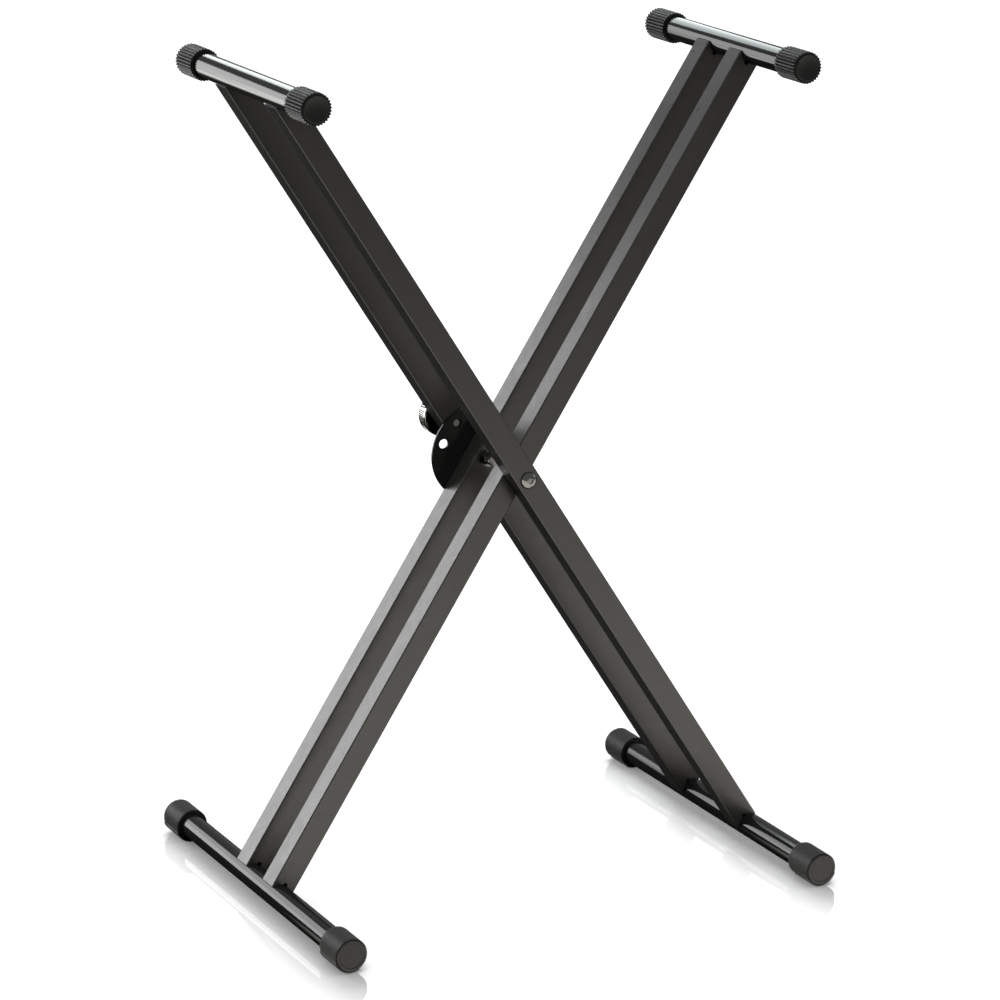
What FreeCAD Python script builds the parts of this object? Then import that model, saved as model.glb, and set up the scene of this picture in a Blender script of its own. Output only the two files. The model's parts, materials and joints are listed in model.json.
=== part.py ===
import FreeCAD, Part
import Sketcher
import math
import os

# Folding cross-leg stand for a keyboard. Two welded tube frames, an inner and an outer one, cross on a
# pair of pivot bolts. A drawn pin on the outer frame drops into a holed plate on the inner frame.
# World frame: X along the spread of the legs, -Y to the front, Z up, origin on the floor under the pivot.

document = FreeCAD.newDocument("keyboard_stand")
sheet = document.addObject("Spreadsheet::Sheet", "params")

SIZES = {
    # the two frames
    "arm": 485.0,
    "tube_size": 25.0,
    "tube_wall": 1.5,
    "tube_corner": 1.2,
    "inner_gap": 40.0,
    "bar_radius": 12.5,
    "bar_wall": 1.5,
    "weld_gap": 0.1,
    "vent_width": 4.5,
    "vent_depth": 2.5,
    "top_bar_length": 299.0,
    "floor_bar_length": 428.0,
    # rubber grips on the top bars
    "grip_wall": 3.45,
    "grip_tooth_depth": 1.4,
    "grip_tooth_land": 0.9,
    "grip_teeth": 30,
    "grip_sleeve": 35.5,
    "grip_end_wall": 2.0,
    "grip_disc_inset": 1.4,
    "grip_disc_height": 1.0,
    "cap_clearance": 0.05,
    # rubber feet on the floor bars
    "foot_wall": 4.45,
    "foot_rib_depth": 0.6,
    "foot_rib_land": 0.75,
    "foot_ribs": 64,
    "foot_sleeve": 33.0,
    "foot_rib_length": 37.3,
    "foot_end_wall": 6.5,
    "foot_nose_wall": 3.05,
    "foot_nose_chamfer": 0.8,
    "foot_dish_inset": 3.2,
    "foot_dish_depth": 0.5,
    "pad_height": 1.0,
    "pad_facet": 8.4,
    "pad_seat": 2.5,
    # pivot bolts
    "bolt_radius": 4.0,
    "bolt_head_radius": 8.7,
    "bolt_head_height": 4.8,
    "bolt_head_round": 4.2,
    "bolt_tail": 2.0,
    "socket_flats": 5.0,
    "socket_depth": 3.0,
    "running_gap": 0.05,
    "bush_wall": 1.95,
    "nut_flats": 13.0,
    "nut_height": 6.0,
    "collar_wall": 1.65,
    "collar_height": 2.0,
    "nut_washer_radius": 8.5,
    "nut_washer_thickness": 1.6,
    "spacer_radius": 11.5,
    "rear_spacer_space": 0.5,
    # lock plate
    "plate_margin": 5.7,
    "plate_thickness": 2.0,
    "plate_bore_gap": 0.3,
    "hole_circle": 39.3,
    "hole_play": 1.0,
    "hole_step": 37.3,
    "stow_angle": 4.5,
    "stow_step": 24.0,
    "rivet_inboard": 20.0,
    "rivet_outboard": 26.0,
    "rivet_radius": 2.4,
    "rivet_head_radius": 4.2,
    "rivet_head_height": 1.0,
    "rivet_bulb_radius": 3.4,
    "rivet_bulb_height": 2.5,
    # lock pin and its knob
    "pin_radius": 4.0,
    "pin_chamfer": 0.6,
    "pin_clear": 0.3,
    "pin_travel": 4.0,
    "spigot_shoulder": 1.0,
    "sleeve_wall": 3.95,
    "flange_rim": 3.0,
    "flange_thickness": 3.0,
    "brake_wall": 1.95,
    "brake_width": 4.0,
    "knob_radius": 21.2,
    "knob_width": 16.0,
    "knob_home_gap": 0.5,
    "knob_edge": 1.0,
    "knob_recess_play": 1.5,
    "knob_recess_room": 1.0,
    "rib_blocks": 8,
    "rib_step": 5.6,
    "rib_flare": 2.6,
    "rib_depth": 0.7,
    "rib_front_border": 4.0,
    "rib_back_border": 1.5,
    "screw_radius": 2.0,
    "screw_length": 8.0,
    "screw_recess": 2.0,
    "screw_head_radius": 3.8,
    "screw_head_height": 2.2,
    "screw_socket_flats": 2.5,
    "screw_socket_depth": 1.3,
}
for row, (alias, number) in enumerate(SIZES.items(), start=1):
    sheet.set(f"A{row}", alias)
    sheet.set(f"B{row}", str(number))
    sheet.setAlias(f"B{row}", alias)
document.recompute()

LOCK_HOLES = range(3)
HELD_HOLE = 1
BLOCK_CUTS = range(-3, 4)
HEX_TURNS = range(6)
PAD_FACETS = range(-8, 4)

# the plate's holes, counted from the one that holds the stand folded, set how far the legs lean
FIRST_HOLE = "(params.stow_angle + params.stow_step)"
LOCK_ANGLE = f"({FIRST_HOLE} + {HELD_HOLE} * params.hole_step)"
LEAN = f"(90 - {LOCK_ANGLE} / 2)"
INNER = LEAN
OUTER = f"(180 - {LEAN})"
FRONT = "-"
REAR = ""

# radii that follow the bars, the bolts and the pin
CAP_BORE = "(params.bar_radius + params.cap_clearance)"
GRIP_RADIUS = f"({CAP_BORE} + params.grip_wall)"
GRIP_ROOT = f"({GRIP_RADIUS} - params.grip_tooth_depth)"
GRIP_DISC = f"({GRIP_ROOT} - params.grip_disc_inset)"
FOOT_RADIUS = f"({CAP_BORE} + params.foot_wall)"
FOOT_NOSE = f"({CAP_BORE} + params.foot_nose_wall)"
FOOT_DISH = f"({FOOT_NOSE} - params.foot_dish_inset)"
PAD_DROP = f"({FOOT_RADIUS} + params.pad_height)"
BOLT_BORE = "(params.bolt_radius + params.running_gap)"
BUSH_RADIUS = f"({BOLT_BORE} + params.bush_wall)"
PIN_BORE = "(params.pin_radius + params.running_gap)"
HOLE_RADIUS = "(params.pin_radius + params.hole_play)"
PLATE_RADIUS = f"(params.hole_circle + {HOLE_RADIUS} + params.plate_margin)"
SLEEVE_RADIUS = f"({PIN_BORE} + params.sleeve_wall)"
FLANGE_RADIUS = f"({SLEEVE_RADIUS} + params.flange_rim)"
BRAKE_RADIUS = f"({PIN_BORE} + params.brake_wall)"
SPIGOT_RADIUS = "(params.pin_radius - params.spigot_shoulder)"

# distances out from the middle plane between the frames, along Y
INNER_NEAR = "params.inner_gap / 2"
INNER_FAR = f"({INNER_NEAR} + params.tube_size)"
PLATE_BACK = f"({INNER_FAR} + params.plate_thickness)"
OUTER_NEAR = f"({PLATE_BACK} + params.rear_spacer_space)"
OUTER_FAR = f"({OUTER_NEAR} + params.tube_size)"
HALF_TUBE = "params.tube_size / 2"
NUT_FACE = f"({INNER_NEAR} - params.running_gap - params.nut_washer_thickness)"
NUT_TOP = f"({NUT_FACE} - params.nut_height)"
COLLAR_TOP = f"({NUT_TOP} - params.collar_height)"
BOLT_END = f"({COLLAR_TOP} - params.bolt_tail)"
FLOOR_ANGLE = f"(270 - {LEAN})"
PIVOT_HEIGHT = f"({PAD_DROP} + params.arm * sin({LEAN}))"

nodes = []


def origin_feature(body, role):
    return next(item for item in body.Origin.OriginFeatures if item.Role == role)


def sketch_on(body, name, role, offset=None):
    """A sketch on one of the body's own origin planes, moved along that plane's normal."""
    sketch = body.newObject("Sketcher::SketchObject", name)
    sketch.AttachmentSupport = [(origin_feature(body, role), "")]
    sketch.MapMode = "FlatFace"
    if offset:
        sketch.setExpression("AttachmentOffset.Base.z", offset)
    return sketch


def bind_point(sketch, geometry, point, place):
    for kind, expression in zip(("DistanceX", "DistanceY"), place):
        index = sketch.addConstraint(Sketcher.Constraint(kind, -1, 1, geometry, point, 1.0))
        sketch.setExpression(f"Constraints[{index}]", expression)


def add_polygon(sketch, corners):
    """A closed outline whose corners are each held by two expressions."""
    first = sketch.GeometryCount
    count = len(corners)
    turns = [2 * math.pi * n / count for n in range(count)]
    ring = [FreeCAD.Vector(math.cos(turn), math.sin(turn), 0) for turn in turns]
    for n in range(count):
        sketch.addGeometry(Part.LineSegment(ring[n], ring[(n + 1) % count]), False)
    for n in range(count):
        follower = first + (n + 1) % count
        sketch.addConstraint(Sketcher.Constraint("Coincident", first + n, 2, follower, 1))
    for n, corner in enumerate(corners):
        bind_point(sketch, first + n, 1, corner)


def add_rectangle(sketch, low, high):
    add_polygon(sketch, [low, (high[0], low[1]), high, (low[0], high[1])])


def add_circle(sketch, centre, radius):
    start = Part.Circle(FreeCAD.Vector(1, 1, 0), FreeCAD.Vector(0, 0, 1), 1.0)
    index = sketch.addGeometry(start, False)
    bind_point(sketch, index, 3, centre)
    size = sketch.addConstraint(Sketcher.Constraint("Radius", index, 1.0))
    sketch.setExpression(f"Constraints[{size}]", radius)


def hexagon(flats):
    corner = f"{flats} / sqrt(3)"
    return [(f"{corner} * cos({60 * n})", f"{corner} * sin({60 * n})") for n in HEX_TURNS]


def new_body(label):
    body = document.addObject("PartDesign::Body", label)
    body.Label = label
    return body


def seat(body, frame, along="0"):
    """Puts a body at a distance from the pivot along a frame, turned with that frame about Y."""
    body.Placement = FreeCAD.Placement(FreeCAD.Vector(), FreeCAD.Rotation(FreeCAD.Vector(0, 1, 0), 1))
    body.setExpression("Placement.Rotation.Angle", f"-{frame}")
    body.setExpression("Placement.Base.x", f"{along} * cos({frame})")
    body.setExpression("Placement.Base.z", f"{PIVOT_HEIGHT} + {along} * sin({frame})")
    nodes.append(body)
    return body


def turn(body, name, profile):
    """Revolves a profile of (radius, distance along Y) corners about the body's Y axis."""
    sketch = sketch_on(body, f"{name}_profile", "XY_Plane")
    add_polygon(sketch, profile)
    feature = body.newObject("PartDesign::Revolution", name)
    feature.Profile = sketch
    feature.ReferenceAxis = (sketch, ["V_Axis"])
    feature.Angle = 360
    document.recompute()
    return feature


def ring_profile(inside, outside, start, end):
    return [(inside, start), (outside, start), (outside, end), (inside, end)]


def through_y(body, kind, name, middle, length, draw):
    """A pad or pocket along Y, of a given length about a middle plane at a given Y."""
    sketch = sketch_on(body, f"{name}_outline", "XZ_Plane", f"-({middle})")
    draw(sketch)
    before = body.Shape.Volume if body.Tip else 0
    feature = body.newObject(f"PartDesign::{kind}", name)
    feature.Profile = sketch
    feature.Midplane = True
    feature.setExpression("Length", length)
    document.recompute()
    if feature.Shape.Volume == before:
        raise RuntimeError(f"{body.Label}: {name} changes nothing")
    return feature


def pattern_about_y(body, feature, name, count):
    pattern = body.newObject("PartDesign::PolarPattern", name)
    pattern.Originals = [feature]
    pattern.Axis = (origin_feature(body, "Y_Axis"), [""])
    pattern.Angle = 360
    pattern.setExpression("Occurrences", count)
    body.Tip = pattern
    document.recompute()
    return pattern


def round_edges(body, feature, name, kind, size, chosen):
    """Fillets or chamfers the edges of a feature that a test on their vertices picks out."""
    edges = [f"Edge{n}" for n, edge in enumerate(feature.Shape.Edges, start=1) if chosen(edge)]
    dress = body.newObject(f"PartDesign::{kind}", name)
    dress.Base = (feature, edges)
    dress.setExpression("Radius" if kind == "Fillet" else "Size", size)
    document.recompute()
    return dress


def circle_edge(edge, radius, along):
    """True for a whole circle about Y of the given radius at the given Y."""
    curve = edge.Curve
    if not isinstance(curve, Part.Circle):
        return False
    return abs(curve.Radius - radius) < 1e-4 and abs(curve.Center.y - along) < 1e-4


def size(alias):
    return float(sheet.get(alias))


def rail(label, frame, near, far, side, extra_hole=None):
    """Square tube of one frame: both ends are coped round the bars, with a small vent notch in each cope,
    and a cross hole takes the pivot."""
    body = new_body(label)
    section = sketch_on(body, "section", "YZ_Plane")
    add_rectangle(section, (f"{side}({near})", f"-{HALF_TUBE}"), (f"{side}({far})", HALF_TUBE))
    wall_near = f"{side}({near} + params.tube_wall)"
    wall_far = f"{side}({far} - params.tube_wall)"
    half_bore = f"({HALF_TUBE} - params.tube_wall)"
    add_rectangle(section, (wall_near, f"-{half_bore}"), (wall_far, half_bore))
    tube = body.newObject("PartDesign::Pad", "tube")
    tube.Profile = section
    tube.Midplane = True
    # the narrow walls stop where their inside meets the round bar, or level with its axis on a thinner bar
    reach = f"sqrt(max(params.bar_radius ^ 2 - {half_bore} ^ 2; 0))"
    tube.setExpression("Length", f"2 * (params.arm - {reach})")
    document.recompute()
    half = size("tube_size") / 2

    def long_outer_edge(edge):
        points = [vertex.Point for vertex in edge.Vertexes]
        return edge.Length > 4 * half and all(abs(abs(point.z) - half) < 1e-4 for point in points)

    round_edges(body, tube, "corners", "Fillet", "params.tube_corner", long_outer_edge)
    middle = f"{side}(({near} + {far}) / 2)"
    across = "params.tube_size + 2"
    cope = "(params.bar_radius + params.weld_gap)"

    def draw_holes(sketch):
        add_circle(sketch, ("params.arm", "0"), cope)
        add_circle(sketch, ("-params.arm", "0"), cope)
        add_circle(sketch, ("0", "0"), f"({BUSH_RADIUS} + params.running_gap)")
        if extra_hole:
            add_circle(sketch, *extra_hole)

    def draw_vents(sketch):
        for end in ("", "-"):
            low = (f"{end}(params.arm - params.bar_radius - params.vent_depth)", "-params.vent_width / 2")
            high = (f"{end}(params.arm - params.bar_radius + params.weld_gap)", "params.vent_width / 2")
            add_rectangle(sketch, low, high)

    through_y(body, "Pocket", "copes", middle, across, draw_holes)
    through_y(body, "Pocket", "vents", middle, across, draw_vents)
    return seat(body, frame)


def bar(label, frame, along, length):
    """Round cross tube at one end of a frame."""
    body = new_body(label)
    bore = "params.bar_radius - params.bar_wall"
    turn(body, "tube", ring_profile(bore, "params.bar_radius", f"-{length} / 2", f"{length} / 2"))
    return seat(body, frame, along)


def grip(label, frame, side):
    """Moulded rubber grip on a top bar: a toothed sleeve with a raised plain disc on its closed end."""
    body = new_body(label)
    tube_end = "params.top_bar_length / 2"
    mouth = f"{side}({tube_end} - params.grip_sleeve)"
    wall = f"{side}({tube_end} + params.grip_end_wall)"
    face = f"{side}({tube_end} + params.grip_end_wall + params.grip_disc_height)"
    bevel = "params.grip_disc_height / 2"
    shoulder = f"{side}({tube_end} + params.grip_end_wall + params.grip_disc_height / 2)"
    turn(body, "sleeve", [
        (CAP_BORE, mouth),
        (GRIP_RADIUS, mouth),
        (GRIP_RADIUS, wall),
        (GRIP_DISC, wall),
        (GRIP_DISC, shoulder),
        (f"{GRIP_DISC} - {bevel}", face),
        ("0", face),
        ("0", f"{side}({tube_end})"),
        (CAP_BORE, f"{side}({tube_end})"),
    ])
    half_gap = f"({GRIP_RADIUS} * sin(180 / params.grip_teeth) - params.grip_tooth_land / 2)"
    crest = f"({GRIP_RADIUS} + params.grip_tooth_depth)"
    flare = f"2 * {half_gap}"

    def draw_gap(sketch):
        add_polygon(sketch, [(GRIP_ROOT, "0"), (crest, f"-{flare}"), (crest, flare)])

    middle = f"{side}({tube_end} - params.grip_sleeve / 2 + params.grip_end_wall / 2)"
    long = "params.grip_sleeve + params.grip_end_wall + 2"
    gap = through_y(body, "Pocket", "tooth_gap", middle, long, draw_gap)
    pattern_about_y(body, gap, "teeth", "params.grip_teeth")
    return seat(body, frame, "params.arm")


def foot(label, frame, side, floor_side):
    """Moulded rubber foot on a floor bar: a ribbed sleeve, a dished end face, and a thicker faceted pad
    on the side that meets the floor. One facet lies flat on the floor at the stand's usual height."""
    body = new_body(label)
    tube_end = "params.floor_bar_length / 2"
    start = f"({tube_end} - params.foot_sleeve)"
    ribs_end = f"({start} + params.foot_rib_length)"
    face = f"({tube_end} + params.foot_end_wall)"
    turn(body, "sleeve", [
        (CAP_BORE, f"{side}{start}"),
        (FOOT_RADIUS, f"{side}{start}"),
        (FOOT_RADIUS, f"{side}{ribs_end}"),
        (FOOT_NOSE, f"{side}{ribs_end}"),
        (FOOT_NOSE, f"{side}({face} - params.foot_nose_chamfer)"),
        (f"{FOOT_NOSE} - params.foot_nose_chamfer / 2", f"{side}{face}"),
        (f"{FOOT_DISH} + params.foot_dish_depth", f"{side}{face}"),
        (FOOT_DISH, f"{side}({face} - params.foot_dish_depth)"),
        ("0", f"{side}({face} - params.foot_dish_depth)"),
        ("0", f"{side}({tube_end})"),
        (CAP_BORE, f"{side}({tube_end})"),
    ])
    half_gap = f"({FOOT_RADIUS} * sin(180 / params.foot_ribs) - params.foot_rib_land / 2)"
    crest = f"({FOOT_RADIUS} + params.foot_rib_depth)"
    flare = f"2 * {half_gap}"

    def draw_gap(sketch):
        root = (f"({FOOT_RADIUS} - params.foot_rib_depth)", "0")
        add_polygon(sketch, [root, (crest, f"-{flare}"), (crest, flare)])

    middle = f"{side}({start} + params.foot_rib_length / 2)"
    gap = through_y(body, "Pocket", "rib_gap", middle, "params.foot_rib_length + 2", draw_gap)
    pattern_about_y(body, gap, "ribs", "params.foot_ribs")
    corner = f"({PAD_DROP} / cos(params.pad_facet / 2))"
    seat_radius = f"({FOOT_RADIUS} - params.pad_seat)"

    def draw_pad(sketch):
        edges = [f"({FLOOR_ANGLE} + {n - 0.5} * params.pad_facet)" for n in PAD_FACETS]
        edges.append(f"({FLOOR_ANGLE} + {PAD_FACETS[-1] + 0.5} * params.pad_facet)")
        outside = [(f"{corner} * cos({a})", f"{floor_side}({corner} * sin({a}))") for a in edges]
        inside = [(f"{seat_radius} * cos({a})", f"{floor_side}({seat_radius} * sin({a}))") for a in edges]
        add_polygon(sketch, outside + inside[::-1])

    through_y(body, "Pad", "pad", middle, "params.foot_rib_length", draw_pad)
    return seat(body, frame, "-params.arm")


def washer(label, frame, side, bore, radius, start, end, along="0"):
    body = new_body(label)
    turn(body, "ring", ring_profile(bore, radius, f"{side}({start})", f"{side}({end})"))
    return seat(body, frame, along)


def pivot_bolt(label, side):
    """Button-head bolt from the outside of an outer rail through to a nut inside the inner frame."""
    body = new_body(label)
    head = f"({OUTER_FAR} + params.bolt_head_height)"
    shank = turn(body, "blank", [
        ("0", f"{side}{head}"),
        ("params.bolt_head_radius", f"{side}{head}"),
        ("params.bolt_head_radius", f"{side}{OUTER_FAR}"),
        ("params.bolt_radius", f"{side}{OUTER_FAR}"),
        ("params.bolt_radius", f"{side}{BOLT_END}"),
        ("0", f"{side}{BOLT_END}"),
    ])
    sign = -1 if side == FRONT else 1
    crown = sign * max(abs(shank.Shape.BoundBox.YMin), abs(shank.Shape.BoundBox.YMax))
    radius = size("bolt_head_radius")
    round_edges(body, shank, "dome", "Fillet", "params.bolt_head_round",
                lambda edge: circle_edge(edge, radius, crown))
    through_y(body, "Pocket", "socket", f"{side}{head}", "2 * params.socket_depth",
              lambda sketch: add_polygon(sketch, hexagon("params.socket_flats")))
    return seat(body, OUTER)


def lock_nut(label, side):
    """Hexagon nut with a round locking collar, its thread left plain."""
    body = new_body(label)

    def draw_nut(sketch):
        add_polygon(sketch, hexagon("params.nut_flats"))
        add_circle(sketch, ("0", "0"), BOLT_BORE)

    middle = f"{side}(({NUT_FACE} + {NUT_TOP}) / 2)"
    through_y(body, "Pad", "hexagon", middle, "params.nut_height", draw_nut)
    collar = f"({BOLT_BORE} + params.collar_wall)"
    turn(body, "collar", ring_profile(BOLT_BORE, collar, f"{side}{NUT_TOP}", f"{side}{COLLAR_TOP}"))
    return seat(body, OUTER)


def lock_plate():
    """Flat steel plate on the back of the rear inner rail: a disc about the pivot with its lower side cut off
    flush with the rail, a row of holes for the lock pin and one more where the pin rests when folded."""
    body = new_body("lock_plate")
    middle = f"{INNER_FAR} + params.plate_thickness / 2"

    def on_circle(angle):
        return (f"params.hole_circle * cos({angle})", f"params.hole_circle * sin({angle})")

    def draw_plate(sketch):
        add_circle(sketch, ("0", "0"), PLATE_RADIUS)
        add_circle(sketch, ("0", "0"), "(params.bolt_radius + params.plate_bore_gap)")
        for hole in LOCK_HOLES:
            add_circle(sketch, on_circle(f"({FIRST_HOLE} + {hole} * params.hole_step)"), HOLE_RADIUS)
        add_circle(sketch, on_circle("params.stow_angle"), HOLE_RADIUS)
        add_circle(sketch, ("params.rivet_inboard", "0"), "(params.rivet_radius + params.running_gap)")
        add_circle(sketch, ("-params.rivet_outboard", "0"), "(params.rivet_radius + params.running_gap)")

    def draw_offcut(sketch):
        low = (f"-2 * {PLATE_RADIUS}", f"-2 * {PLATE_RADIUS}")
        add_rectangle(sketch, low, (f"2 * {PLATE_RADIUS}", f"-{HALF_TUBE}"))

    def draw_recess(sketch):
        add_circle(sketch, ("params.rivet_inboard", "0"), "(params.rivet_head_radius + params.running_gap)")
        add_circle(sketch, ("-params.rivet_outboard", "0"), "(params.rivet_head_radius + params.running_gap)")

    through_y(body, "Pad", "disc", middle, "params.plate_thickness", draw_plate)
    through_y(body, "Pocket", "offcut", middle, "2 * params.plate_thickness", draw_offcut)
    through_y(body, "Pocket", "recess", PLATE_BACK, "2 * params.rivet_head_height", draw_recess)
    return seat(body, INNER)


def rivet(label, along):
    """Flush rivet that holds the lock plate to the rear wall of the rail."""
    body = new_body(label)
    head = f"({PLATE_BACK} - params.rivet_head_height)"
    inside = f"({INNER_FAR} - params.tube_wall)"
    turn(body, "rivet", [
        ("0", PLATE_BACK),
        ("params.rivet_head_radius", PLATE_BACK),
        ("params.rivet_head_radius", head),
        ("params.rivet_radius", head),
        ("params.rivet_radius", inside),
        ("params.rivet_bulb_radius", inside),
        ("params.rivet_radius", f"({inside} - params.rivet_bulb_height)"),
        ("0", f"({inside} - params.rivet_bulb_height)"),
    ])
    return seat(body, INNER, along)


KNOB_FRONT = f"({OUTER_FAR} + params.knob_home_gap + params.pin_travel)"
KNOB_FLOOR = f"({KNOB_FRONT} + params.flange_thickness + params.knob_recess_room)"
KNOB_BACK = f"({KNOB_FRONT} + params.knob_width)"
SPIGOT_END = f"({KNOB_BACK} - params.screw_recess)"
PIN_TIP = f"({PLATE_BACK} + params.pin_clear)"
BRAKE_MIDDLE = f"(({OUTER_NEAR} + {OUTER_FAR}) / 2)"
BRAKE_FRONT = f"({BRAKE_MIDDLE} - params.brake_width / 2)"
BRAKE_BACK = f"({BRAKE_MIDDLE} + params.brake_width / 2)"


def pin_sleeve():
    """Flanged guide sleeve through both walls of the rear outer rail, with a groove for the brake ring."""
    body = new_body("pin_sleeve")
    groove = f"({BRAKE_RADIUS} + params.running_gap)"
    flange = f"({OUTER_FAR} + params.flange_thickness)"
    turn(body, "sleeve", [
        (PIN_BORE, OUTER_NEAR),
        (SLEEVE_RADIUS, OUTER_NEAR),
        (SLEEVE_RADIUS, OUTER_FAR),
        (FLANGE_RADIUS, OUTER_FAR),
        (FLANGE_RADIUS, flange),
        (PIN_BORE, flange),
        (PIN_BORE, BRAKE_BACK),
        (groove, BRAKE_BACK),
        (groove, BRAKE_FRONT),
        (PIN_BORE, BRAKE_FRONT),
    ])
    return seat(body, OUTER, "params.hole_circle")


def lock_pin():
    """Stepped steel pin. Its tip is drawn clear of the plate, and a spigot at the back carries the knob."""
    body = new_body("lock_pin")
    bottom = f"({SPIGOT_END} - params.screw_length)"
    thread = "(params.screw_radius + params.running_gap)"
    turn(body, "pin", [
        ("0", PIN_TIP),
        ("params.pin_radius - params.pin_chamfer", PIN_TIP),
        ("params.pin_radius", f"({PIN_TIP} + params.pin_chamfer)"),
        ("params.pin_radius", KNOB_FLOOR),
        (SPIGOT_RADIUS, KNOB_FLOOR),
        (SPIGOT_RADIUS, SPIGOT_END),
        (thread, SPIGOT_END),
        (thread, bottom),
        ("0", bottom),
    ])
    return seat(body, OUTER, "params.hole_circle")


def lock_knob():
    """Turned metal knob with blocks of short ribs round its rim, hollowed at the front over the sleeve."""
    body = new_body("lock_knob")
    spigot_bore = f"({SPIGOT_RADIUS} + params.running_gap)"
    recess = f"({FLANGE_RADIUS} + params.knob_recess_play)"
    head_bore = "(params.screw_head_radius + params.running_gap)"
    turn(body, "blank", [
        (spigot_bore, KNOB_FLOOR),
        (recess, KNOB_FLOOR),
        (recess, KNOB_FRONT),
        ("params.knob_radius - params.knob_edge", KNOB_FRONT),
        ("params.knob_radius", f"({KNOB_FRONT} + params.knob_edge)"),
        ("params.knob_radius", f"({KNOB_BACK} - params.knob_edge)"),
        ("params.knob_radius - params.knob_edge", KNOB_BACK),
        (head_bore, KNOB_BACK),
        (head_bore, SPIGOT_END),
        (spigot_bore, SPIGOT_END),
    ])
    root = "(params.knob_radius - params.rib_depth)"
    crest = "(params.knob_radius + params.rib_depth)"

    def draw_block(sketch):
        for cut in BLOCK_CUTS:
            angle = f"({LEAN} + {cut} * params.rib_step)"
            low = f"({angle} - params.rib_flare)"
            high = f"({angle} + params.rib_flare)"
            corners = [(root, angle), (crest, low), (crest, high)]
            add_polygon(sketch, [(f"{reach} * cos({at})", f"{reach} * sin({at})") for reach, at in corners])

    block_front = f"({KNOB_FRONT} + params.rib_front_border)"
    block_back = f"({KNOB_BACK} - params.rib_back_border)"
    middle = f"(({block_front} + {block_back}) / 2)"
    block = through_y(body, "Pocket", "rib_block", middle, f"{block_back} - {block_front}", draw_block)
    pattern_about_y(body, block, "rib_blocks", "params.rib_blocks")
    return seat(body, OUTER, "params.hole_circle")


def knob_screw():
    """Socket screw that draws the knob on to the spigot."""
    body = new_body("knob_screw")
    top = f"({SPIGOT_END} + params.screw_head_height)"
    turn(body, "screw", [
        ("0", top),
        ("params.screw_head_radius", top),
        ("params.screw_head_radius", SPIGOT_END),
        ("params.screw_radius", SPIGOT_END),
        ("params.screw_radius", f"({SPIGOT_END} - params.screw_length + params.running_gap)"),
        ("0", f"({SPIGOT_END} - params.screw_length + params.running_gap)"),
    ])
    through_y(body, "Pocket", "socket", top, "2 * params.screw_socket_depth",
              lambda sketch: add_polygon(sketch, hexagon("params.screw_socket_flats")))
    return seat(body, OUTER, "params.hole_circle")


# Inner frame: two rails between the pivots, a top bar and a longer floor bar
rail("inner_rail_front", INNER, INNER_NEAR, INNER_FAR, FRONT)
inner_rear = rail("inner_rail_rear", INNER, INNER_NEAR, INNER_FAR, REAR)
bar("inner_top_bar", INNER, "params.arm", "params.top_bar_length")
bar("inner_floor_bar", INNER, "-params.arm", "params.floor_bar_length")


def draw_plate_holes(sketch):
    """Holes in the rear wall only, under the plate's folded-away hole and its rivets."""
    stow = ("params.hole_circle * cos(params.stow_angle)", "params.hole_circle * sin(params.stow_angle)")
    add_circle(sketch, stow, HOLE_RADIUS)
    add_circle(sketch, ("params.rivet_inboard", "0"), "(params.rivet_radius + params.running_gap)")
    add_circle(sketch, ("-params.rivet_outboard", "0"), "(params.rivet_radius + params.running_gap)")


through_y(inner_rear, "Pocket", "plate_holes", INNER_FAR, "4 * params.tube_wall", draw_plate_holes)

# Outer frame: its rails run outside the inner ones, and the rear rail also takes the pin sleeve
rail("outer_rail_front", OUTER, OUTER_NEAR, OUTER_FAR, FRONT)
SLEEVE_HOLE = (("params.hole_circle", "0"), f"({SLEEVE_RADIUS} + params.running_gap)")
rail("outer_rail_rear", OUTER, OUTER_NEAR, OUTER_FAR, REAR, SLEEVE_HOLE)
bar("outer_top_bar", OUTER, "params.arm", "params.top_bar_length")
bar("outer_floor_bar", OUTER, "-params.arm", "params.floor_bar_length")

# Rubber ends: a grip on each top bar end and a foot on each floor bar end
for frame_name, frame, floor_side in (("inner", INNER, ""), ("outer", OUTER, "-")):
    for side_name, side in (("front", FRONT), ("rear", REAR)):
        grip(f"{frame_name}_grip_{side_name}", frame, side)
        foot(f"{frame_name}_foot_{side_name}", frame, side, floor_side)

# Pivots: each bolt runs through a crush tube, a spacer, a bush and a washer into its nut
for side_name, side, spacer_front in (("front", FRONT, INNER_FAR), ("rear", REAR, PLATE_BACK)):
    spacer_start = f"({spacer_front} + params.running_gap)"
    spacer_radius = "params.spacer_radius"
    washer_end = f"({INNER_NEAR} - params.running_gap)"
    washer_radius = "params.nut_washer_radius"
    pivot_bolt(f"pivot_bolt_{side_name}", side)
    washer(f"crush_tube_{side_name}", OUTER, side, BOLT_BORE, BUSH_RADIUS, OUTER_NEAR, OUTER_FAR)
    washer(f"pivot_spacer_{side_name}", OUTER, side, BOLT_BORE, spacer_radius, spacer_start, OUTER_NEAR)
    washer(f"pivot_bush_{side_name}", INNER, side, BOLT_BORE, BUSH_RADIUS, INNER_NEAR, INNER_FAR)
    washer(f"nut_washer_{side_name}", OUTER, side, BOLT_BORE, washer_radius, NUT_FACE, washer_end)
    lock_nut(f"pivot_nut_{side_name}", side)

# Lock: the holed plate on the inner frame, the sleeve, brake ring, pin and knob on the outer one
lock_plate()
rivet("plate_rivet_upper", "params.rivet_inboard")
rivet("plate_rivet_lower", "-params.rivet_outboard")
pin_sleeve()
washer("brake_ring", OUTER, REAR, PIN_BORE, BRAKE_RADIUS, BRAKE_FRONT, BRAKE_BACK, "params.hole_circle")
lock_pin()
lock_knob()
knob_screw()

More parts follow.
